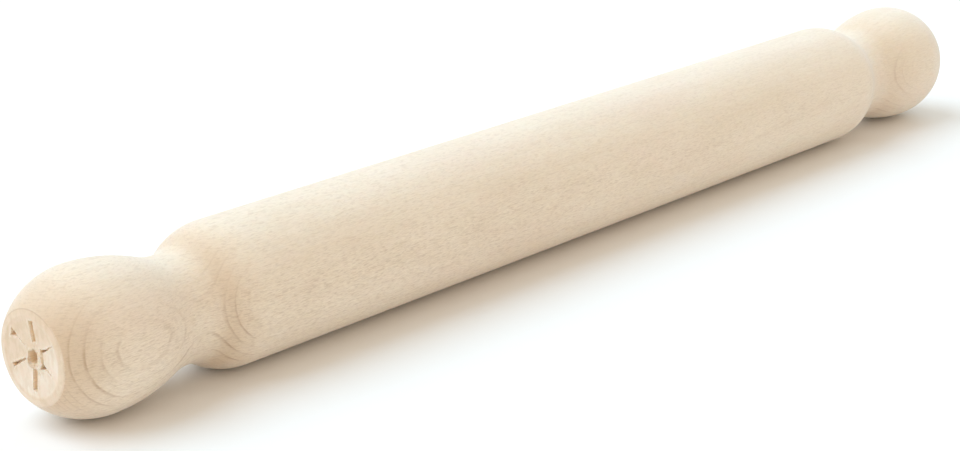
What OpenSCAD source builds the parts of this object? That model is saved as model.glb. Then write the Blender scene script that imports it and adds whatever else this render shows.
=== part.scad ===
// One-piece rolling pin, turned from a single stick of beech.
// The pin lies along X with the lathe's drive mark at its -X end, and rests on Z = 0.
// Each end is a chain of true arcs that meet without a corner: bulb, neck and shoulder.

/* [Barrel] */
// Length of the pin over its two flat ends
pin_len = 450; // [360:1:560]
// Diameter of the straight barrel
barrel_d = 45; // [44:0.5:54]
// Distance from each end to the point where the barrel runs straight
barrel_from = 68.5; // [66:0.5:76]

/* [Handles] */
// Largest diameter of each bulb
bulb_d = 44.4; // [42:0.2:48]
// Distance from the end to the widest point of the bulb
bulb_at = 19; // [16:0.5:24]
// Smallest diameter of each neck
neck_d = 33.2; // [30:0.2:36]
// Distance from the end to the thinnest point of the neck
neck_at = 49; // [46:0.5:52]
// Radius of the hollow on the bulb's side of the neck
hollow_r = 25; // [15:1:36]
// Radius of the rounded shoulder at the end of the barrel
shoulder_r = 22; // [12:1:24]

/* [Flat ends] */
// Diameter of the flat face on each end
face_d = 23.6; // [20:0.2:26]
// Diameter of the corner where the sanded bevel meets the bulb
rim_d = 28; // [26.4:0.2:32]
// How far that corner lies back from the face
bevel_depth = 0.45; // [0.2:0.05:1.2]

/* [Lathe marks] */
// Diameter of the drive centre's hole at the face
drive_hole_d = 4.4; // [3:0.1:6]
// Depth of the drive centre's hole
drive_hole_depth = 3.2; // [2:0.1:6]
// Number of prong slots round the hole
prongs = 6; // [4:1:8]
// Distance from the pin's axis to the inner end of each slot
slot_from = 4; // [3.5:0.1:5]
// Distance from the pin's axis to the outer end of each slot
slot_to = 9.8; // [7.5:0.1:10]
// Width of each slot at the face
slot_w = 1.8; // [1.2:0.1:2.4]
// Depth of each slot
slot_depth = 1.6; // [0.8:0.1:2.5]
// Turn of the whole mark about the pin's axis
mark_turn = 0; // [0:1:59]
// Diameter of the tail centre's dimple in the other end
dimple_d = 5; // [3:0.1:7]

/* [Hidden] */
$fn = 180;

barrel_r = barrel_d / 2;
bulb_r = bulb_d / 2;
neck_r = neck_d / 2;
rim_r = rim_d / 2;
axis_z = max(barrel_r, bulb_r);
reach = pin_len;  // larger than any radius of the pin, for trimming
run_on = 1;       // how far a stretch of the outline runs on inside the next one
bite = 0.003;     // extra depth of each hollow, so that it crosses the swells beside it cleanly

// Radii that two tangent arcs need between them to pass from one level to another
function arc_sum(run, drop) = (run * run + drop * drop) / (2 * drop);

// Bulb, from the rim's corner to the widest point, and from there towards the neck
front_r = arc_sum(bulb_at - bevel_depth, bulb_r - rim_r);
back_sum = arc_sum(neck_at - bulb_at, bulb_r - neck_r);
back_r = back_sum - hollow_r;
back_to = bulb_at + (neck_at - bulb_at) * back_r / back_sum;

// Neck and shoulder
rise_sum = arc_sum(barrel_from - neck_at, barrel_r - neck_r);
rise_r = rise_sum - shoulder_r;
rise_to = neck_at + (barrel_from - neck_at) * rise_r / rise_sum;

// Lathe marks
slot_floor = 0.55;    // width of a slot's floor, as a share of its width at the face
hole_floor = 0.75;    // width of the drive hole's floor, as a share of its width at the face
dimple_angle = 60;    // full angle of the tail centre's point
dimple_floor_d = 0.6; // width of the point's blunt tip
dimple_slope = 2 * tan(dimple_angle / 2);
dimple_depth = (dimple_d - dimple_floor_d) / dimple_slope;
past_face = 0.5;      // how far the cutting shapes stand out of the face

// Keeps the part of a flat outline that lies between two distances from the end
module between(low, high) {
    intersection() {
        translate([0, low])
            square([reach, high - low]);
        children();
    }
}

// A rounded stretch of the outline, widest at the given distance and radius
module swell(low, high, at, widest_r, arc_r) {
    between(low, high)
        translate([widest_r - arc_r, at])
            circle(r = arc_r);
}

// A hollow stretch of the outline, thinnest at the given distance and radius
module hollow(low, high, at, thinnest_r, arc_r) {
    between(low, high)
        difference() {
            square([thinnest_r + arc_r, high]);
            translate([thinnest_r + arc_r, at])
                circle(r = arc_r + bite);
        }
}

// The bulb's front, cut off square at the face and on a slant at the bevel
module bulb_front() {
    face_r = face_d / 2;
    wide = 2 * bulb_r;
    slant = bevel_depth / (rim_r - face_r);
    intersection() {
        polygon([
            [0, 0],
            [face_r, 0],
            [wide, (wide - face_r) * slant],
            [wide, bulb_at + run_on],
            [0, bulb_at + run_on]
        ]);
        translate([bulb_r - front_r, bulb_at])
            circle(r = front_r);
    }
}

// Half section of one end: distance from the axis across, distance from the end up.
// Each stretch runs on a little, inside its neighbour, so that they join into one outline.
module end_section() {
    bulb_front();
    swell(bulb_at, back_to + run_on, bulb_at, bulb_r, back_r);
    hollow(back_to, neck_at + run_on, neck_at, neck_r, hollow_r);
    hollow(neck_at, rise_to, neck_at, neck_r, rise_r);
    swell(rise_to - run_on, barrel_from + run_on, barrel_from, barrel_r, shoulder_r);
}

module pin_section() {
    end_section();
    translate([0, barrel_from])
        square([barrel_r, pin_len - 2 * barrel_from]);
    translate([0, pin_len])
        mirror([0, 1])
            end_section();
}

// A slot that one prong has pressed, cut into the face at Z = 0 and pointing along +X
module prong_slot() {
    slope = slot_w * (1 - slot_floor) / 2 / slot_depth;
    top_half = slot_w / 2 + past_face * slope;
    floor_half = slot_w * slot_floor / 2;
    translate([slot_from, 0, 0])
        rotate([90, 0, 90])
            linear_extrude(slot_to - slot_from)
                polygon([
                    [-top_half, -past_face],
                    [top_half, -past_face],
                    [floor_half, slot_depth],
                    [-floor_half, slot_depth]
                ]);
}

// Hole and slots that the drive centre leaves in the face at Z = 0
module drive_mark() {
    slope = drive_hole_d * (1 - hole_floor) / drive_hole_depth;
    translate([0, 0, -past_face])
        cylinder(
            d1 = drive_hole_d + past_face * slope,
            d2 = drive_hole_d * hole_floor,
            h = drive_hole_depth + past_face
        );
    for (i = [0 : prongs - 1])
        rotate([0, 0, mark_turn + i * 360 / prongs])
            prong_slot();
}

// Dimple that the tail centre leaves in the face at Z = 0
module tail_dimple() {
    translate([0, 0, -past_face])
        cylinder(
            d1 = dimple_d + past_face * dimple_slope,
            d2 = dimple_floor_d,
            h = dimple_depth + past_face
        );
}

module turned_pin() {
    color([0.91, 0.83, 0.71])
        translate([-pin_len / 2, 0, axis_z])
            rotate([0, 90, 0])
                difference() {
                    rotate_extrude()
                        pin_section();
                    drive_mark();
                    translate([0, 0, pin_len])
                        mirror([0, 0, 1])
                            tail_dimple();
                }
}

turned_pin();
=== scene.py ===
import math

import bpy
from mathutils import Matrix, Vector, noise


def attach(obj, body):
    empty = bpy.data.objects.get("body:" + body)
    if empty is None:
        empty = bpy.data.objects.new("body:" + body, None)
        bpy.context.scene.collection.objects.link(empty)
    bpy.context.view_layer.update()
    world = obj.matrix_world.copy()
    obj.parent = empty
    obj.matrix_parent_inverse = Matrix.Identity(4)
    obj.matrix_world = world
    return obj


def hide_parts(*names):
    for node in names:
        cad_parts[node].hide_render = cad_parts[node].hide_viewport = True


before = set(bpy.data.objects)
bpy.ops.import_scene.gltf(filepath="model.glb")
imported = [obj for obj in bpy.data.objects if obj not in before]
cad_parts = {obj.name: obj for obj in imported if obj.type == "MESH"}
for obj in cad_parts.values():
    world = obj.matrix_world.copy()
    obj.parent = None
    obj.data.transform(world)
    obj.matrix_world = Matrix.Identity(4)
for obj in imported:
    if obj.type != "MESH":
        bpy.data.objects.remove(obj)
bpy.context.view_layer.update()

mm = 0.001

# The turned shape, in millimetres, as the part's own solid has it
pin = {
    "length": 450.0,
    "barrelRadius": 22.5,
    "barrelFrom": 68.5,      # from each end to where the barrel runs straight
    "bulbRadius": 22.2,
    "bulbAt": 19.0,          # from each end to the widest point of the bulb
    "neckRadius": 16.6,
    "neckAt": 49.0,          # from each end to the thinnest point of the neck
    "hollowRadius": 25.0,    # of the hollow on the bulb's side of the neck
    "shoulderRadius": 22.0,
    "faceRadius": 11.8,
    "rimRadius": 14.0,       # of the corner where the bevel meets the bulb
    "bevelDepth": 0.45,
    "cornerSoftness": 0.32,  # how far sanding has eased the corners of the bevel
    "dryingOval": 0.998,     # beech shrinks a little more one way across than the other
    "dimpleRadius": 2.5,     # of the tail centre's mark in the plain end
    "dimpleTip": 0.3,
    "dimpleSlope": 30.0,     # degrees between the dimple's wall and the axis
}

# How finely the pin is built, in millimetres
fineness = {
    "faceStep": 0.02,        # between the first points of the outline, on the face, bevel and bulb
    "bevelStep": 0.004,
    "bulbStep": 0.012,
    "outlineReach": 6.0,     # how far back from the face that outline runs
    "evenGap": 0.03,         # between its points once they are evenly spaced
    "gridReach": 1.4,        # how far back from the face the fine round grid runs
    "gridStep": 0.12,
    "gridSides": ((3.5, 160), (7.0, 320), (99.0, 640)),  # radius, and points round the grid up to it
    "gridEnd": 0.35,         # from the grid to the next ring of the bulb
    "sides": 160,
    "handleStep": 1.2,
    "barrelStep": 12.0,
    "pastShoulder": 2.0,     # how far along the barrel the handle's step goes on
    # the plain end keeps one of so many rings up to this radius, and all this near its dimple's edge
    "plainRings": 4,
    "plainReach": 10.5,
    "dimpleEdge": 0.2,
}


def tangentSum(run, drop):
    # radii that two touching arcs need between them for this run and drop
    return (run * run + drop * drop) / (2 * drop)


def turnedRadius(a):
    # radius of the pin at a distance from the nearer end, in millimetres
    p = pin
    frontArc = tangentSum(p["bulbAt"] - p["bevelDepth"], p["bulbRadius"] - p["rimRadius"])
    backSum = tangentSum(p["neckAt"] - p["bulbAt"], p["bulbRadius"] - p["neckRadius"])
    backArc = backSum - p["hollowRadius"]
    backTo = p["bulbAt"] + (p["neckAt"] - p["bulbAt"]) * backArc / backSum
    riseSum = tangentSum(p["barrelFrom"] - p["neckAt"], p["barrelRadius"] - p["neckRadius"])
    riseArc = riseSum - p["shoulderRadius"]
    riseTo = p["neckAt"] + (p["barrelFrom"] - p["neckAt"]) * riseArc / riseSum
    if a < p["bevelDepth"]:
        return p["faceRadius"] + (p["rimRadius"] - p["faceRadius"]) * a / p["bevelDepth"]
    if a < p["bulbAt"]:
        return p["bulbRadius"] - frontArc + math.sqrt(frontArc**2 - (p["bulbAt"] - a) ** 2)
    if a < backTo:
        return p["bulbRadius"] - backArc + math.sqrt(backArc**2 - (a - p["bulbAt"]) ** 2)
    if a < p["neckAt"]:
        hollow = p["hollowRadius"]
        return p["neckRadius"] + hollow - math.sqrt(hollow**2 - (p["neckAt"] - a) ** 2)
    if a < riseTo:
        return p["neckRadius"] + riseArc - math.sqrt(riseArc**2 - (a - p["neckAt"]) ** 2)
    if a < p["barrelFrom"]:
        shoulder = p["shoulderRadius"]
        return p["barrelRadius"] - shoulder + math.sqrt(shoulder**2 - (p["barrelFrom"] - a) ** 2)
    return p["barrelRadius"]


def sharpOutline():
    # (distance from the end, radius) from the face's centre out over the bevel to the bulb
    points = []
    r = 0.0
    while r < pin["faceRadius"]:
        points.append((0.0, r))
        r += fineness["faceStep"]
    a = 0.0
    while a < fineness["outlineReach"]:
        points.append((a, turnedRadius(a)))
        a += fineness["bevelStep"] if a < pin["bevelDepth"] else fineness["bulbStep"]
    return points


def easedOutline():
    # the same outline, evenly spaced and with its corners eased
    gap = fineness["evenGap"]
    sharp = sharpOutline()
    even = [sharp[0]]
    carry = 0.0
    for p, q in zip(sharp, sharp[1:]):
        length = math.dist(p, q)
        while carry + length >= gap:
            t = (gap - carry) / length
            p = (p[0] + (q[0] - p[0]) * t, p[1] + (q[1] - p[1]) * t)
            even.append(p)
            length = math.dist(p, q)
            carry = 0.0
        carry += length
    # a running mean, which cuts corners inwards only
    reach = round(pin["cornerSoftness"] / gap)
    eased = []
    for i in range(len(even)):
        k = min(reach, i, len(even) - 1 - i)
        part = even[i - k : i + k + 1]
        eased.append((sum(p[0] for p in part) / len(part), sum(p[1] for p in part) / len(part)))
    return eased


# The mark of the lathe's drive centre. Lengths in millimetres from the pin's axis, to the right and
# up, seen from outside the end.
driveMark = {
    "holeAt": (0.15, 0.15),
    "holeHalf": (1.55, 1.95),
    "holeDepth": 2.7,
    "holeCorners": 3,           # 2 makes the hole round, more makes it squarer
    "holeLean": 0.15,
    "holeSteepness": 0.5,
    "brokenEdge": (1.35, 0.8, 0.12),  # how far the hole's edge is broken to the right, down and at least
    "brokenUneven": 0.3,
    "edgeDepth": 0.62,
    "wallRun": 0.3,             # how far the walls of the hole and the slots slope
    "endStep": 0.05,            # how far beyond a slot's ends its end walls start
    "ragged": 0.16,
    "fineRagged": 0.05,
    "lip": 0.2,
    "lipReach": (-1.0, -0.05),  # minus the distance from a slot, where a lip starts and where it is full
    "lipPatches": (0.5, 0.25),  # share of the lip everywhere, and how much the fine noise adds
    "tornAt": (2.2, -0.6),      # middle of the torn fibres, and how far they reach in full and at all
    "tornReach": (2.5, 6.0),
    "tornRelief": 0.22,
    "tornFine": 0.35,
    "markReach": (11.0, 12.4),  # radii between which the whole mark fades out
    "brownDepth": (0.1, 0.8),   # depths between which the pressed wood turns brown
    "brownEdge": 0.25,          # and how brown the broken edge is
    # noise cells per millimetre to the right and up, and the layer of the noise
    "noises": {
        "wobble": (1.3, 1.3, 3.7),
        "fine": (5.0, 5.0, 1.0),
        "patches": (1.7, 1.7, 8.0),
        "fibres": (2.6, 1.5, 5.0),
    },
    "wobbleShift": (9.1, 4.2, 0),
    # start, end, width at each, depth at each, and how far the wall to its right slopes
    "slots": [
        ((1.75, 5.0), (0.5, 10.9), 1.7, 2.0, 0.7, 1.05, 0.25),
        ((-5.6, 4.9), (-8.5, 5.7), 0.3, 2.7, 0.3, 1.7, 0.25),
        ((-2.2, 3.1), (-5.9, 5.0), 0.4, 0.35, 0.25, 0.3, 0.3),
        ((-8.5, -4.3), (-2.3, -0.7), 1.25, 0.6, 1.6, 0.6, 0.7),
        ((1.6, -3.1), (0.8, -9.5), 2.1, 1.9, 0.7, 1.05, 0.25),
        ((4.4, -1.3), (6.6, -1.5), 2.3, 0.35, 2.8, 0.7, 0.25),
        ((4.5, -1.7), (3.4, -2.7), 0.8, 0.3, 1.2, 0.4, 0.3),
        ((6.4, -1.5), (8.6, -3.0), 0.45, 0.25, 0.6, 0.3, 0.2),
        ((4.2, 3.0), (6.3, 3.7), 1.2, 0.6, 2.1, 1.0, 0.25),
        ((6.1, 3.6), (9.6, 5.9), 0.6, 0.25, 0.9, 0.3, 0.2),
        ((4.70, 2.6), (4.80, -0.6), 1.4, 1.4, 0.75, 0.75, 1.0),
    ],
}


def clamped(x):
    return max(0.0, min(1.0, x))


def smoothStep(low, high, x):
    t = clamped((x - low) / (high - low))
    return t * t * (3 - 2 * t)


def noisePlace(right, up, name):
    # where one of the mark's noises is read for a place on the end face
    perRight, perUp, layer = driveMark["noises"][name]
    return Vector((right * perRight, up * perUp, layer))


def slotDepth(right, up, slot):
    # depth inside a slot, or minus the distance to it outside
    (rightIn, upIn), (rightOut, upOut), widthIn, widthOut, depthIn, depthOut, slope = slot
    runRight = rightOut - rightIn
    runUp = upOut - upIn
    length = math.hypot(runRight, runUp)
    along = ((right - rightIn) * runRight + (up - upIn) * runUp) / length
    across = ((right - rightIn) * runUp - (up - upIn) * runRight) / length
    t = clamped(along / length)
    half = (widthIn + (widthOut - widthIn) * t) / 2
    depth = depthIn + (depthOut - depthIn) * t
    past = max(0.0, -along, along - length)
    outside = math.hypot(max(0.0, abs(across) - half), past)
    if outside > 0:
        return -outside
    run = driveMark["wallRun"]
    step = driveMark["endStep"]
    rightWall = (half - across) / max(run, slope)
    otherWalls = min(half + across, along + step, length - along + step) / run
    return depth * min(1.0, rightWall, otherWalls)


def faceDepth(right, up):
    # how deep the end face is pushed in at a place, in millimetres, and how brown it is pressed, from
    # 0 to 1, or below 0 where a lip stands
    m = driveMark
    wobble = noisePlace(right, up, "wobble")
    fine = noise.noise(noisePlace(right, up, "fine"))
    r = right + m["ragged"] * noise.noise(wobble)
    r += m["fineRagged"] * fine
    u = up + m["ragged"] * noise.noise(wobble + Vector(m["wobbleShift"]))
    # the hole, a little squarish
    hr = (r - m["holeAt"][0]) / m["holeHalf"][0]
    hu = (u - m["holeAt"][1] - m["holeLean"] * hr) / m["holeHalf"][1]
    reach = (abs(hr) ** m["holeCorners"] + abs(hu) ** m["holeCorners"]) ** (1 / m["holeCorners"])
    fromHole = (reach - 1) * m["holeHalf"][0]
    if fromHole <= 0:
        depth = m["edgeDepth"] - fromHole / m["wallRun"] * m["holeDepth"] * m["holeSteepness"]
        return min(m["holeDepth"], depth), 1.0
    # its broken edge
    size = math.hypot(hr, hu)
    rightBreak, downBreak, leastBreak = m["brokenEdge"]
    broken = max(0.0, hr / size) * rightBreak + max(0.0, -hu / size) * downBreak + leastBreak
    edge = m["edgeDepth"] * max(0.0, 1 - fromHole / (broken * (1 + m["brokenUneven"] * fine)))
    # the slots
    nearest = -fromHole + broken
    depth = 0.0
    for slot in m["slots"]:
        d = slotDepth(r, u, slot)
        if d > 0:
            depth = max(depth, d)
        else:
            nearest = max(nearest, d)
    if depth > edge:
        return depth, smoothStep(*m["brownDepth"], depth)
    # torn fibres and lips
    fromTorn = math.hypot(right - m["tornAt"][0], up - m["tornAt"][1])
    rough = m["tornRelief"] * (m["tornFine"] * fine + noise.noise(noisePlace(right, up, "fibres")))
    rough *= 1 - smoothStep(*m["tornReach"], fromTorn)
    if edge > 0:
        return max(-m["lip"], edge + rough), m["brownEdge"]
    lipShare, lipFine = m["lipPatches"]
    patches = noise.noise(noisePlace(right, up, "patches"))
    lip = smoothStep(*m["lipReach"], nearest)
    lip *= clamped(lipShare + patches + lipFine * fine)
    return max(-m["lip"], rough - m["lip"] * lip), -lip


def placed(x, y, z):
    # a place in the pin's own millimetres, from its middle and its axis, as the scene has it
    return (x * mm, y * pin["dryingOval"] * mm, (z + pin["barrelRadius"]) * mm)


def roundOf(radius, count):
    # (y, z) of the points of a ring
    turns = [2 * math.pi * i / count for i in range(count)]
    return [(radius * math.cos(t), radius * math.sin(t)) for t in turns]


def evenSteps(start, end, step):
    # places from the start up to just before the end, about a step apart
    count = math.ceil((end - start) / step)
    return [start + (end - start) * i / count for i in range(count)]


class PinShape:
    # points and faces, ring by ring from the end with the drive mark to the other, and how brown
    # each point is pressed
    def __init__(self, tip, tipBrown):
        self.points = [tip]
        self.brown = [tipBrown]
        self.faces = []
        self.last = 0
        self.lastCount = 1

    def addRing(self, ring, brown=None):
        start = len(self.points)
        count = len(ring)
        self.points.extend(ring)
        self.brown.extend(brown or [0.0] * count)
        if self.lastCount == 1:
            self.faces.extend((self.last, start + (i + 1) % count, start + i) for i in range(count))
        else:
            self.join(start, count)
        self.last = start
        self.lastCount = count

    def join(self, start, count):
        # faces back to the last ring, where one of the two may have more points than the other
        few = min(count, self.lastCount)
        share = count // few
        lastShare = self.lastCount // few
        for i in range(few):
            edge = [start + (i * share + k) % count for k in range(share + 1)]
            lastEdge = [self.last + (i * lastShare + k) % self.lastCount for k in range(lastShare + 1)]
            self.faces.append((*reversed(edge), *lastEdge))

    def close(self, tip):
        centre = len(self.points)
        self.points.append(tip)
        self.brown.append(0.0)
        for i in range(self.lastCount):
            self.faces.append((centre, self.last + i, self.last + (i + 1) % self.lastCount))


def markedEnd(stations):
    # the end with the drive mark, on a fine round grid, set back so that its lips stay within the face
    half = pin["length"] / 2
    lipRoom = driveMark["lip"]
    shape = PinShape(placed(-half + faceDepth(0, 0)[0] + lipRoom, 0, 0), 1.0)
    for a, r in stations:
        fade = 1 - smoothStep(*driveMark["markReach"], r)
        count = next(sides for reach, sides in fineness["gridSides"] if r < reach)
        ring = []
        brown = []
        for y, z in roundOf(r, count):
            depth, pressed = faceDepth(-y, z)
            ring.append(placed(-half + a + (depth + lipRoom) * fade, y, z))
            brown.append(pressed * fade)
        shape.addRing(ring, brown)
    return shape


def addSides(shape, first):
    # both handles and the barrel, from the first place to the same distance from the other end
    half = pin["length"] / 2
    straight = pin["barrelFrom"] + fineness["pastShoulder"]
    places = evenSteps(first, straight, fineness["handleStep"])
    places += evenSteps(straight, pin["length"] - straight, fineness["barrelStep"])
    places += evenSteps(pin["length"] - straight, pin["length"] - first, fineness["handleStep"])
    places.append(pin["length"] - first)
    for a in places:
        radius = turnedRadius(min(a, pin["length"] - a))
        shape.addRing([placed(-half + a, y, z) for y, z in roundOf(radius, fineness["sides"])])


def addPlainEnd(shape, stations):
    # the end with the tail centre's dimple
    half = pin["length"] / 2
    slope = math.tan(math.radians(pin["dimpleSlope"]))
    for k, (a, r) in reversed(list(enumerate(stations))):
        nearEdge = abs(r - pin["dimpleRadius"]) <= fineness["dimpleEdge"]
        if r < fineness["plainReach"] and not nearEdge and k % fineness["plainRings"] > 0:
            continue
        into = a + max(0.0, (pin["dimpleRadius"] - max(r, pin["dimpleTip"])) / slope)
        shape.addRing([placed(half - into, y, z) for y, z in roundOf(r, fineness["sides"])])
    shape.close(placed(half - (pin["dimpleRadius"] - pin["dimpleTip"]) / slope, 0, 0))


def inScene(name, data):
    # a new object of the scene for a mesh, lamp or camera
    sceneObject = bpy.data.objects.new(name, data)
    bpy.context.scene.collection.objects.link(sceneObject)
    return sceneObject


def buildPin():
    stride = max(1, round(fineness["gridStep"] / fineness["evenGap"]))
    grid = easedOutline()[::stride]
    stations = [(a, r) for a, r in grid if r > 0 and a < fineness["gridReach"]]
    shape = markedEnd(stations)
    addSides(shape, stations[-1][0] + fineness["gridEnd"])
    addPlainEnd(shape, stations)
    mesh = bpy.data.meshes.new("rollingPin")
    mesh.from_pydata(shape.points, [], shape.faces)
    mesh.attributes.new("cut", "FLOAT", "POINT").data.foreach_set("value", shape.brown)
    for face in mesh.polygons:
        face.use_smooth = True
    return inScene("rollingPin", mesh)


# The wood. Places are in millimetres from the end with the drive mark and from the pin's axis.
beech = {
    "lightWood": (0.912, 0.788, 0.636),
    "darkWood": (0.847, 0.710, 0.545),
    "lateWood": (0.420, 0.245, 0.135),
    "pinkTinge": (0.860, 0.700, 0.560),
    "endGrain": (0.650, 0.470, 0.300),
    "endPink": (0.800, 0.612, 0.470),
    "paleCream": (0.930, 0.860, 0.760),
    "burnished": (0.740, 0.480, 0.220),
    "ray": (0.430, 0.280, 0.170),
    "layerTurn": 8.0,        # degrees by which the layers' facing side is turned up
    # how far from the axis, towards the camera's side, each growth layer ends at the end with the
    # drive mark, and how strongly it shows
    "rings": [
        (-26.0, 0.4), (-24.1, 0.7), (-22.3, 0.5), (-20.2, 0.8), (-18.6, 0.4), (-16.9, 0.6),
        (-14.8, 0.9), (-13.1, 0.5), (-11.5, 0.4), (-9.6, 0.7), (-8.1, 0.4), (-6.3, 0.5), (-4.9, 0.3),
        (-3.1, 0.5), (-1.4, 0.3), (0.4, 0.4), (1.9, 0.3), (3.6, 0.5), (5.1, 0.35), (6.5, 0.3),
        (8.0, 0.45), (9.4, 0.3), (11.1, 0.4), (12.8, 0.35), (15.31, 1.0), (18.13, 1.0), (20.39, 0.5),
        (22.08, 1.0), (23.95, 0.3), (26.20, 0.6), (27.35, 0.4), (28.64, 0.5), (29.96, 0.4),
        (31.24, 0.45), (33.0, 0.5), (35.0, 0.5),
    ],
    # how far the layers have come out at each distance from that end
    "bow": [
        (0, 0.0), (20, 0.56), (40, 1.75), (58, 2.36), (75, 3.0), (100, 4.2), (130, 5.24),
        (165, 6.32), (205, 7.43), (245, 9.0), (285, 9.34), (325, 8.87), (365, 8.35), (410, 7.72),
        (450, 7.16),
    ],
    "drift": 0.5,            # how far the layers wander, widely and closely
    "ripple": 0.5,
    "lineStrength": 0.62,
    "duskStrength": 0.12,    # of the slow darkening towards each line
    "duskPower": 2.0,
    "faintest": 0.22,        # how clear the lines are where the cut runs along the fibres
    "toneShares": (0.55, 0.45),  # of the broad mottle and the streaks in the ground colour
    # cells per millimetre along, outwards and sideways, thin and thick edge, share left out
    "rays": {
        "fine rays": (0.36, 0.10, 2.8, 0.10, 0.36, 0.10),
        "broad rays": (0.24, 0.06, 1.40, 0.05, 0.20, 0.50),
    },
    "rayRipple": 1.2,        # how far the ripple bends the rays
    "rayStrength": 0.37,
    # across and upward parts of the way to the low side of an end face, where it is palest
    "lowWay": (-0.55, -0.8),
    "streakPaleEdge": 4.0,       # how far streaks move the edge of the paler low side
    "rimLineAt": 13.9,       # radius of the dark line round an end face
    "endBand": 1.0,          # how near an end that line can show
    "poreRelief": 0.012,     # heights in millimetres
    "streakRelief": 0.010,
    "latheRelief": 0.006,
    "rayRelief": -0.014,
    "latheRounds": 1.8,      # sanding rounds per millimetre along the pin
    "latheDetail": 3.0,
    "gloss": {
        "Specular IOR Level": 0.45,
        "Subsurface Weight": 0.35,
        "Subsurface Radius": (1.0, 0.62, 0.38),
        "Subsurface Scale": 2.0 * mm,
        "Sheen Weight": 0.40,
        "Sheen Roughness": 0.5,
    },
    # cells per millimetre along, outwards and sideways, then detail and roughness
    "noises": {
        "drift": (0.010, 0.035, 0.035, 2.0, 0.5),
        "ripple": (0.16, 0.25, 0.30, 4.0, 0.6),
        "mottle": (0.02, 0.09, 0.09, 3.0, 0.55),
        "streaks": (0.10, 0.9, 1.5, 4.0, 0.6),
        "pinkHeart": (0.013, 0.05, 0.05, 2.0, 0.5),
        "fineGrain": (0.55, 3.2, 4.2, 2.0, 0.6),
        "patchyLines": (0.10, 0.15, 0.22, 3.0, 0.6),
        "rayDashes": (0.42, 0.60, 3.0, 2.0, 0.6),
        "blotches": (0.1, 0.50, 0.20, 3.0, 0.65),
        "pinkBlotches": (0.1, 0.42, 0.30, 2.0, 0.6),
        "tornPatchesAndShade": (0.5, 0.9, 1.5, 3.0, 0.6),
        "pores": (0.9, 7.0, 9.0, 3.0, 0.6),
    },
    # from and to, the result at each, and whether the fade between them is soft or even
    "fades": {
        # by how far the cut crosses the fibres
        "slantStarts": (0.08, 0.50, 0.0, 1.0, "soft"),
        "slantStops": (0.75, 0.95, 1.0, 0.0, "soft"),
        "endStarts": (0.80, 0.95, 0.0, 1.0, "soft"),
        "slantTan": (0.35, 0.72, 0.24, 0.70, "even"),
        "linesOnEnd": (0.0, 1.0, 1.0, 0.25, "even"),
        "raysOnEnd": (0.0, 1.0, 1.0, 0.15, "even"),
        # by a noise
        "darkTone": (0.36, 0.64, 0.0, 1.0, "even"),
        "pinkHeart": (0.5, 0.7, 0.0, 0.5, "even"),
        "fineGrain": (0.36, 0.66, 0.0, 0.22, "even"),
        "patchyLines": (0.33, 0.62, 0.15, 1.0, "even"),
        "rayDashes": (0.51, 0.68, 0.0, 0.9, "even"),
        "tornPatchesAndShade": (0.34, 0.58, 0.10, 0.85, "even"),
        "blotches": (0.44, 0.60, 0.0, 0.42, "even"),
        "pinkBlotches": (0.46, 0.58, 0.0, 0.45, "even"),
        "poreGloss": (0.3, 0.7, 0.50, 0.68, "even"),
        # by the share of a growth layer that lies behind a place
        "lineComes": (0.70, 0.90, 0.0, 1.0, "soft"),
        "lineGoes": (0.90, 1.0, 1.0, 0.0, "soft"),
        "duskGoes": (0.93, 1.0, 1.0, 0.0, "soft"),
        # by the place along the pin or above its axis; upwards the grain and rays wash out into a painted
        # highlight on the top
        "fainterAlong": (120.0, 420.0, 1.0, 0.55, "even"),
        "paintedHighlightOnTop": (3.0, 15.0, 1.0, 0.62, "soft"),
        "linesInPaintedHighlight": (2.0, 12.0, 1.0, 0.20, "soft"),
        "linesFarOff": (395.0, 430.0, 1.0, 0.5, "even"),
        # by the radius on an end face, or the distance from its dark edge line or its torn fibres
        "paleBand": (11.9, 12.5, 0.0, 0.40, "soft"),
        "onDisc": (11.0, 11.9, 1.0, 0.0, "soft"),
        "rimLine": (0.08, 0.30, 1.0, 0.0, "soft"),
        "tornRound": (*driveMark["tornReach"], 1.0, 0.0, "soft"),
        # by the distance to the low side of an end face
        "endTan": (-9.0, 2.0, 0.70, 0.54, "even"),
        "paleBandLow": (0.0, 4.0, 0.0, 1.0, "even"),
        "paleTowardsLow": (-1.0, 7.0, 0.0, 0.45, "soft"),
        "rimShade": (-8.0, -1.0, 0.38, 0.08, "even"),
        # by how brown the drive centre has pressed a place
        "pressed": (0.0, 1.0, 0.0, 0.45, "even"),
        "lips": (-0.6, 0.0, 0.22, 0.0, "even"),
    },
}

# How nodes are laid out on the bench
benchLayout = {"columns": 14, "width": 180, "height": 220}


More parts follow.
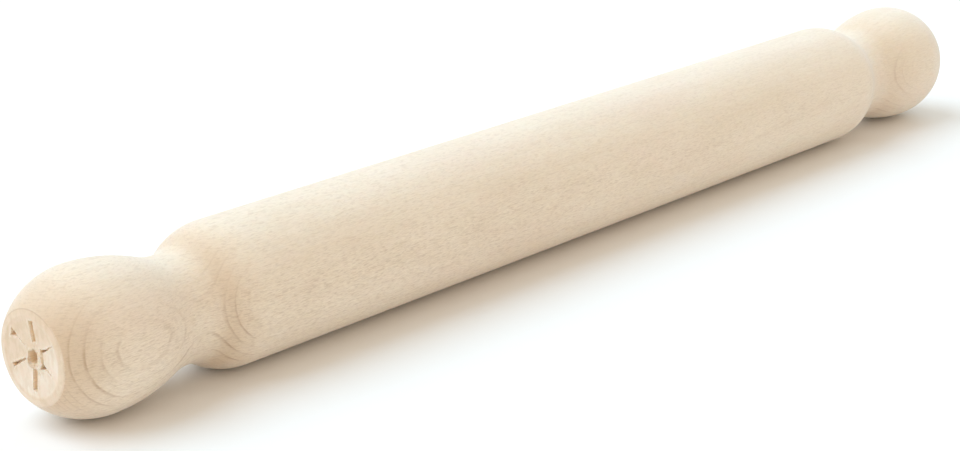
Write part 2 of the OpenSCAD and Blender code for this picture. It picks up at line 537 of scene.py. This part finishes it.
class NodeBench:
    # short ways to add and join nodes
    def __init__(self, tree):
        self.tree = tree
        self.count = 0
        tree.nodes.clear()

    def add(self, kind, label="", inputs=None, **settings):
        node = self.tree.nodes.new(kind)
        node.label = label
        for name, value in settings.items():
            setattr(node, name, value)
        for name, value in (inputs or {}).items():
            self.plug(node.inputs[name], value)
        self.count += 1
        row, column = divmod(self.count, benchLayout["columns"])
        node.location = (benchLayout["width"] * column, -benchLayout["height"] * row)
        return node

    def plug(self, socket, value):
        if isinstance(value, bpy.types.NodeSocket):
            self.tree.links.new(value, socket)
        else:
            socket.default_value = value

    def maths(self, operation, a, b=0.0, c=0.0):
        node = self.add("ShaderNodeMath", operation=operation)
        for socket, value in zip(node.inputs, (a, b, c)):
            self.plug(socket, value)
        return node.outputs[0]

    def times(self, *values):
        # the product of several values
        product = values[0]
        for value in values[1:]:
            product = self.maths("MULTIPLY", product, value)
        return product

    def length(self, a, b):
        # how long a step is that goes this far in each of two directions
        return self.maths("SQRT", self.maths("ADD", self.times(a, a), self.times(b, b)))

    def mapRange(self, value, fromMin, fromMax, toMin=0.0, toMax=1.0, soft=False):
        node = self.add("ShaderNodeMapRange", clamp=True)
        node.interpolation_type = "SMOOTHSTEP" if soft else "LINEAR"
        for socket, entry in zip(node.inputs, (value, fromMin, fromMax, toMin, toMax)):
            self.plug(socket, entry)
        return node.outputs[0]

    def vector(self, operation, a, b=None, scale=None):
        node = self.add("ShaderNodeVectorMath", operation=operation)
        self.plug(node.inputs[0], a)
        if b is not None:
            self.plug(node.inputs[1], b)
        if scale is not None:
            self.plug(node.inputs["Scale"], scale)
        return node.outputs["Value" if operation == "DOT_PRODUCT" else "Vector"]

    def split(self, vector):
        # its parts along X, Y and Z
        return self.add("ShaderNodeSeparateXYZ", inputs={"Vector": vector}).outputs

    def mixColour(self, factor, first, second):
        node = self.add("ShaderNodeMix", data_type="RGBA", blend_type="MIX", clamp_factor=True)
        self.plug(node.inputs[0], factor)
        for socket, value in ((node.inputs[6], first), (node.inputs[7], second)):
            self.plug(socket, (*value, 1.0) if isinstance(value, tuple) else value)
        return node.outputs[2]

    def floatCurve(self, value, pairs, label):
        # piecewise straight curve through (x, y) pairs
        x0 = pairs[0][0]
        x1 = pairs[-1][0]
        low = min(y for _, y in pairs)
        high = max(y for _, y in pairs)
        node = self.add("ShaderNodeFloatCurve", label)
        curve = node.mapping.curves[0]
        wanted = [((x - x0) / (x1 - x0), (y - low) / (high - low)) for x, y in pairs]
        curve.points[0].location = wanted[0]
        curve.points[-1].location = wanted[-1]
        for place in wanted[1:-1]:
            curve.points.new(*place)
        for point in curve.points:
            point.handle_type = "VECTOR"
        node.mapping.update()
        self.plug(node.inputs["Value"], self.mapRange(value, x0, x1))
        return self.maths("MULTIPLY_ADD", node.outputs[0], high - low, low)


class BeechBench(NodeBench):
    # a bench that knows places, directions and noises in one block of beech, in millimetres
    def __init__(self, tree):
        super().__init__(tree)
        self.colour = beech["lightWood"]
        self.madeNoises = {}
        turn = math.radians(beech["layerTurn"])
        coords = self.add("ShaderNodeTexCoord", "place in the wood")
        inMm = self.vector("SCALE", coords.outputs["Object"], scale=1 / mm)
        fromEnd = self.vector("ADD", inMm, (pin["length"] / 2, 0.0, -pin["barrelRadius"]))
        self.along, self.across, self.upward = self.split(fromEnd)
        self.outward = self.vector("DOT_PRODUCT", fromEnd, (0.0, -math.cos(turn), math.sin(turn)))
        self.sideways = self.vector("DOT_PRODUCT", fromEnd, (0.0, math.sin(turn), math.cos(turn)))
        # how far the cut crosses the fibres: 0 along them, 1 on the end face
        self.crossCut = self.maths("ABSOLUTE", self.split(coords.outputs["Normal"])[0])
        starts = self.fade("slantStarts", self.crossCut)
        self.slantCut = self.times(starts, self.fade("slantStops", self.crossCut))
        self.endCut = self.fade("endStarts", self.crossCut)
        # places on an end face
        self.fromMiddle = self.length(self.across, self.upward)
        acrossWay, upWay = beech["lowWay"]
        lowAcross = self.maths("MULTIPLY", self.across, acrossWay)
        self.lowSide = self.maths("ADD", lowAcross, self.maths("MULTIPLY", self.upward, upWay))

    def fade(self, name, value):
        # one of the beech's fades, read at a value
        low, high, atLow, atHigh, manner = beech["fades"][name]
        return self.mapRange(value, low, high, atLow, atHigh, manner == "soft")

    def inWood(self, label, along, outward, sideways):
        # a place from its parts in the wood's own directions
        return self.add("ShaderNodeCombineXYZ", label, {0: along, 1: outward, 2: sideways}).outputs[0]

    def grainNoise(self, name):
        # noise in the wood's own directions, made once for each name
        if name not in self.madeNoises:
            along, outward, sideways, detail, rough = beech["noises"][name]
            place = self.inWood(
                name,
                self.maths("MULTIPLY", self.along, along),
                self.maths("MULTIPLY", self.outward, outward),
                self.maths("MULTIPLY", self.sideways, sideways),
            )
            settings = {"Vector": place, "Scale": 1.0, "Detail": detail, "Roughness": rough}
            self.madeNoises[name] = self.add("ShaderNodeTexNoise", name, settings).outputs[0]
        return self.madeNoises[name]

    def noiseFade(self, name):
        # the fade and the noise of one name together
        return self.fade(name, self.grainNoise(name))

    def tint(self, colourName, *amounts):
        # brings one of the beech's colours in, by the product of the amounts
        self.colour = self.mixColour(self.times(*amounts), self.colour, beech[colourName])


def layerPlace(wood):
    # how far out each place lies among the bowed growth layers
    layer = wood.maths("ADD", wood.outward, wood.floatCurve(wood.along, beech["bow"], "bow of the layers"))
    for name in ("drift", "ripple"):
        uneven = wood.maths("SUBTRACT", wood.grainNoise(name), 0.5)
        layer = wood.maths("MULTIPLY_ADD", uneven, beech[name], layer)
    return layer


def groundColour(wood, fainter):
    # mottled wood with a pinkish heart and a fine grain, browner where the cut crosses the fibres
    mottleShare, streakShare = beech["toneShares"]
    streaks = wood.maths("MULTIPLY", wood.grainNoise("streaks"), streakShare)
    tone = wood.maths("MULTIPLY_ADD", wood.grainNoise("mottle"), mottleShare, streaks)
    wood.tint("darkWood", wood.fade("darkTone", tone))
    wood.tint("pinkTinge", wood.noiseFade("pinkHeart"))
    # the fine grain, fainter far off and washed out on the top as a painted highlight
    wood.tint("ray", wood.noiseFade("fineGrain"), fainter)
    paleBand = wood.times(wood.fade("paleBand", wood.fromMiddle), wood.fade("paleBandLow", wood.lowSide))
    endTan = wood.times(wood.fade("endTan", wood.lowSide), wood.maths("SUBTRACT", 1.0, paleBand))
    slantTan = wood.times(wood.slantCut, wood.fade("slantTan", wood.crossCut))
    wood.tint("endGrain", wood.maths("MAXIMUM", slantTan, wood.times(wood.endCut, endTan)))


def growthLines(wood, layer):
    # clear where the cut slants across the layers and faint where it runs along them, and faded on the top
    # as a painted highlight
    ends = [(end, float(i)) for i, (end, _) in enumerate(beech["rings"])]
    strengths = [(float(i), strength) for i, (_, strength) in enumerate(beech["rings"])]
    ringCount = wood.floatCurve(layer, ends, "which ring")
    phase = wood.maths("FRACT", ringCount)
    nextRing = wood.maths("ADD", wood.maths("FLOOR", ringCount), 1.0)
    strength = wood.floatCurve(nextRing, strengths, "how strongly it shows")
    faintest = beech["faintest"]
    clearness = wood.maths("MULTIPLY_ADD", wood.slantCut, 1 - faintest, faintest)
    # the lines fade on the top, a painted highlight
    clearness = wood.times(clearness, wood.fade("linesInPaintedHighlight", wood.upward))
    onEnd = wood.fade("linesOnEnd", wood.endCut)
    amount = wood.times(strength, clearness, onEnd, wood.fade("linesFarOff", wood.along))
    dusk = wood.maths("POWER", phase, beech["duskPower"])
    duskAmount = wood.times(amount, wood.fade("duskGoes", phase))
    wood.tint("lateWood", dusk, duskAmount, beech["duskStrength"])
    line = wood.times(wood.fade("lineComes", phase), wood.fade("lineGoes", phase))
    wood.tint("lateWood", line, amount, wood.noiseFade("patchyLines"), beech["lineStrength"])


def rayMarks(wood, layer, fainter):
    # thin sheets that run outwards, seen as dashes, lines or flakes
    marks = wood.noiseFade("rayDashes")
    for name, (along, outward, sideways, thin, thick, leftOut) in beech["rays"].items():
        wander = wood.maths("MULTIPLY", wood.sideways, sideways)
        place = wood.inWood(
            name,
            wood.maths("MULTIPLY", wood.along, along),
            wood.maths("MULTIPLY", layer, outward),
            wood.maths("MULTIPLY_ADD", wood.grainNoise("ripple"), beech["rayRipple"], wander),
        )
        cells = wood.add("ShaderNodeTexVoronoi", name, {"Vector": place, "Scale": 1.0, "Randomness": 1.0})
        flake = wood.mapRange(cells.outputs["Distance"], thin, thick, 1.0, 0.0, soft=True)
        pick = wood.add("ShaderNodeSeparateColor", inputs={"Color": cells.outputs["Color"]}).outputs[0]
        flake = wood.maths("MULTIPLY", flake, wood.mapRange(pick, leftOut, 1.0))
        marks = wood.maths("MAXIMUM", marks, flake)
    marks = wood.maths("MULTIPLY", marks, wood.fade("raysOnEnd", wood.endCut))
    # the rays, fainter far off and washed out on the top as a painted highlight
    wood.tint("ray", marks, fainter, beech["rayStrength"])
    return marks


def endFaces(wood):
    # torn fibres, browner partly in their own colour and partly as painted shade of their relief; paler
    # towards the low side and tanner towards the top; blotches; and a dark line round the face's edge,
    # strongest towards the top
    # torn fibres near the hole are browner, partly their own colour and partly painted shade of their
    # relief
    tornRight = wood.maths("ADD", wood.across, driveMark["tornAt"][0])
    tornUp = wood.maths("SUBTRACT", wood.upward, driveMark["tornAt"][1])
    tornRound = wood.fade("tornRound", wood.length(tornRight, tornUp))
    wood.tint("endGrain", wood.endCut, tornRound, wood.noiseFade("tornPatchesAndShade"))
    onDisc = wood.fade("onDisc", wood.fromMiddle)
    # paler towards the low side of the face, with streaks along the edge of the paler part
    paleReach = wood.maths("MULTIPLY_ADD", wood.grainNoise("streaks"), beech["streakPaleEdge"], wood.lowSide)
    wood.tint("paleCream", wood.endCut, onDisc, wood.fade("paleTowardsLow", paleReach))
    wood.tint("endGrain", wood.endCut, wood.noiseFade("blotches"))
    wood.tint("endPink", wood.endCut, wood.noiseFade("pinkBlotches"))
    # a dark line round the face's edge, strongest towards the top
    fromRim = wood.maths("ABSOLUTE", wood.maths("SUBTRACT", wood.fromMiddle, beech["rimLineAt"]))
    half = pin["length"] / 2
    fromHalfway = wood.maths("ABSOLUTE", wood.maths("SUBTRACT", wood.along, half))
    between = wood.maths("LESS_THAN", fromHalfway, half - beech["endBand"])
    atEnds = wood.maths("SUBTRACT", 1.0, between)
    rimLine = wood.fade("rimLine", fromRim)
    wood.tint("lateWood", rimLine, wood.fade("rimShade", wood.lowSide), atEnds)


def driveMarkColour(wood):
    # browner where the drive centre has pressed, paler on the lips
    pressed = wood.add("ShaderNodeAttribute", "how brown it is", attribute_name="cut").outputs["Fac"]
    wood.tint("burnished", wood.fade("pressed", pressed))
    wood.tint("paleCream", wood.fade("lips", pressed))


def sandedFinish(wood, marks):
    # the shader, with a dull sheen and the relief of pores, streaks, sanding rounds and rays
    pores = wood.grainNoise("pores")
    lathe = wood.add("ShaderNodeTexNoise", "sanding rounds", noise_dimensions="1D")
    wood.plug(lathe.inputs["W"], wood.along)
    wood.plug(lathe.inputs["Scale"], beech["latheRounds"])
    wood.plug(lathe.inputs["Detail"], beech["latheDetail"])
    height = wood.maths("MULTIPLY", wood.grainNoise("streaks"), beech["streakRelief"])
    for value, relief in ((pores, "poreRelief"), (lathe.outputs[0], "latheRelief"), (marks, "rayRelief")):
        height = wood.maths("MULTIPLY_ADD", value, beech[relief], height)
    bump = wood.add("ShaderNodeBump", "sanded grain", {"Height": height, "Strength": 1.0, "Distance": mm})
    return wood.add("ShaderNodeBsdfPrincipled", "beech", {
        "Base Color": wood.colour,
        "Roughness": wood.fade("poreGloss", pores),
        "Normal": bump.outputs[0],
        **beech["gloss"],
    })


def beechMaterial():
    material = bpy.data.materials.new("sandedBeech")
    material.use_nodes = True
    wood = BeechBench(material.node_tree)
    # fainter towards the far end, and paler on the top as a painted highlight
    fainter = wood.times(wood.fade("fainterAlong", wood.along), wood.fade("paintedHighlightOnTop", wood.upward))
    layer = layerPlace(wood)
    groundColour(wood, fainter)
    growthLines(wood, layer)
    marks = rayMarks(wood, layer, fainter)
    endFaces(wood)
    driveMarkColour(wood)
    shader = sandedFinish(wood, marks)
    wood.add("ShaderNodeOutputMaterial", inputs={0: shader.outputs[0]})
    return material


# The studio: a pale floor, an even fill from all round and two soft lamps
studio = {
    "floorSize": 12.0,
    "floorColour": (0.945, 0.945, 0.945),
    "floorRoughness": 0.9,
    "fillColour": (1.0, 0.89, 0.75),
    "fillStrength": 0.76,
    "backdrop": (1.0, 1.0, 1.0),
    # direction towards the lamp, strength, colour, spread in degrees
    "lamps": {
        "leftWindow": ((-0.43, 0.48, 0.77), 1.73, (0.78, 1.0, 1.21), 60.0),
        "farWindow": ((0.75, 0.30, 0.60), 0.50, (0.36, 1.0, 1.46), 50.0),
    },
}


def paleFloor():
    half = studio["floorSize"] / 2
    corners = [(-half, -half, 0), (half, -half, 0), (half, half, 0), (-half, half, 0)]
    mesh = bpy.data.meshes.new("studioFloor")
    mesh.from_pydata(corners, [], [(0, 1, 2, 3)])
    floor = inScene("studioFloor", mesh)
    material = bpy.data.materials.new("paleFloor")
    material.use_nodes = True
    shader = material.node_tree.nodes["Principled BSDF"]
    shader.inputs["Base Color"].default_value = (*studio["floorColour"], 1.0)
    shader.inputs["Roughness"].default_value = studio["floorRoughness"]
    shader.inputs["Specular IOR Level"].default_value = 0.0
    mesh.materials.append(material)


def softLight():
    world = bpy.data.worlds.new("studioWorld")
    bpy.context.scene.world = world
    world.use_nodes = True
    bench = NodeBench(world.node_tree)
    # the camera, glossy and clear surfaces see a white backdrop, and everything else gets the fill
    rays = bench.add("ShaderNodeLightPath").outputs
    mirrored = bench.maths("MAXIMUM", rays["Is Glossy Ray"], rays["Is Transmission Ray"])
    seen = bench.maths("MAXIMUM", rays["Is Camera Ray"], mirrored)
    fillInputs = {"Color": (*studio["fillColour"], 1.0), "Strength": studio["fillStrength"]}
    fill = bench.add("ShaderNodeBackground", "fill", fillInputs)
    whiteInputs = {"Color": (*studio["backdrop"], 1.0), "Strength": 1.0}
    white = bench.add("ShaderNodeBackground", "backdrop", whiteInputs)
    mix = bench.add("ShaderNodeMixShader", inputs={0: seen, 1: fill.outputs[0], 2: white.outputs[0]})
    bench.add("ShaderNodeOutputWorld", inputs={0: mix.outputs[0]})

    for name, (direction, strength, colour, spread) in studio["lamps"].items():
        lamp = bpy.data.lights.new(name, "SUN")
        lamp.energy = strength
        lamp.color = colour
        lamp.angle = math.radians(spread)
        turned = Vector(direction).to_track_quat("Z", "Y").to_euler()
        inScene(name, lamp).rotation_euler = turned


# The camera, worked out from the pin's outline in the photograph of 960 by 451
viewpoint = {
    "place": (-0.55828, -0.46380, 0.25060),
    "tilt": 71.20,
    "heading": -48.07,
    "lens": 82.79,
    "sensor": 36.0,
    "nearest": 0.01,
    "farthest": 100.0,
}


def placeCamera():
    v = viewpoint
    data = bpy.data.cameras.new("photoCamera")
    data.lens = v["lens"]
    data.sensor_width = v["sensor"]
    data.sensor_fit = "HORIZONTAL"
    data.clip_start = v["nearest"]
    data.clip_end = v["farthest"]
    camera = inScene("photoCamera", data)
    camera.location = v["place"]
    camera.rotation_euler = (math.radians(v["tilt"]), 0.0, math.radians(v["heading"]))
    bpy.context.scene.camera = camera


placeCamera()
print("camera placed")

rollingPin = buildPin()
print("pin turned:", len(rollingPin.data.vertices), "points")

rollingPin.data.materials.append(beechMaterial())
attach(rollingPin, "root")
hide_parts("turned_pin")
print("beech laid on")

paleFloor()
softLight()
print("studio lit")

bpy.context.scene.view_settings.view_transform = "Standard"
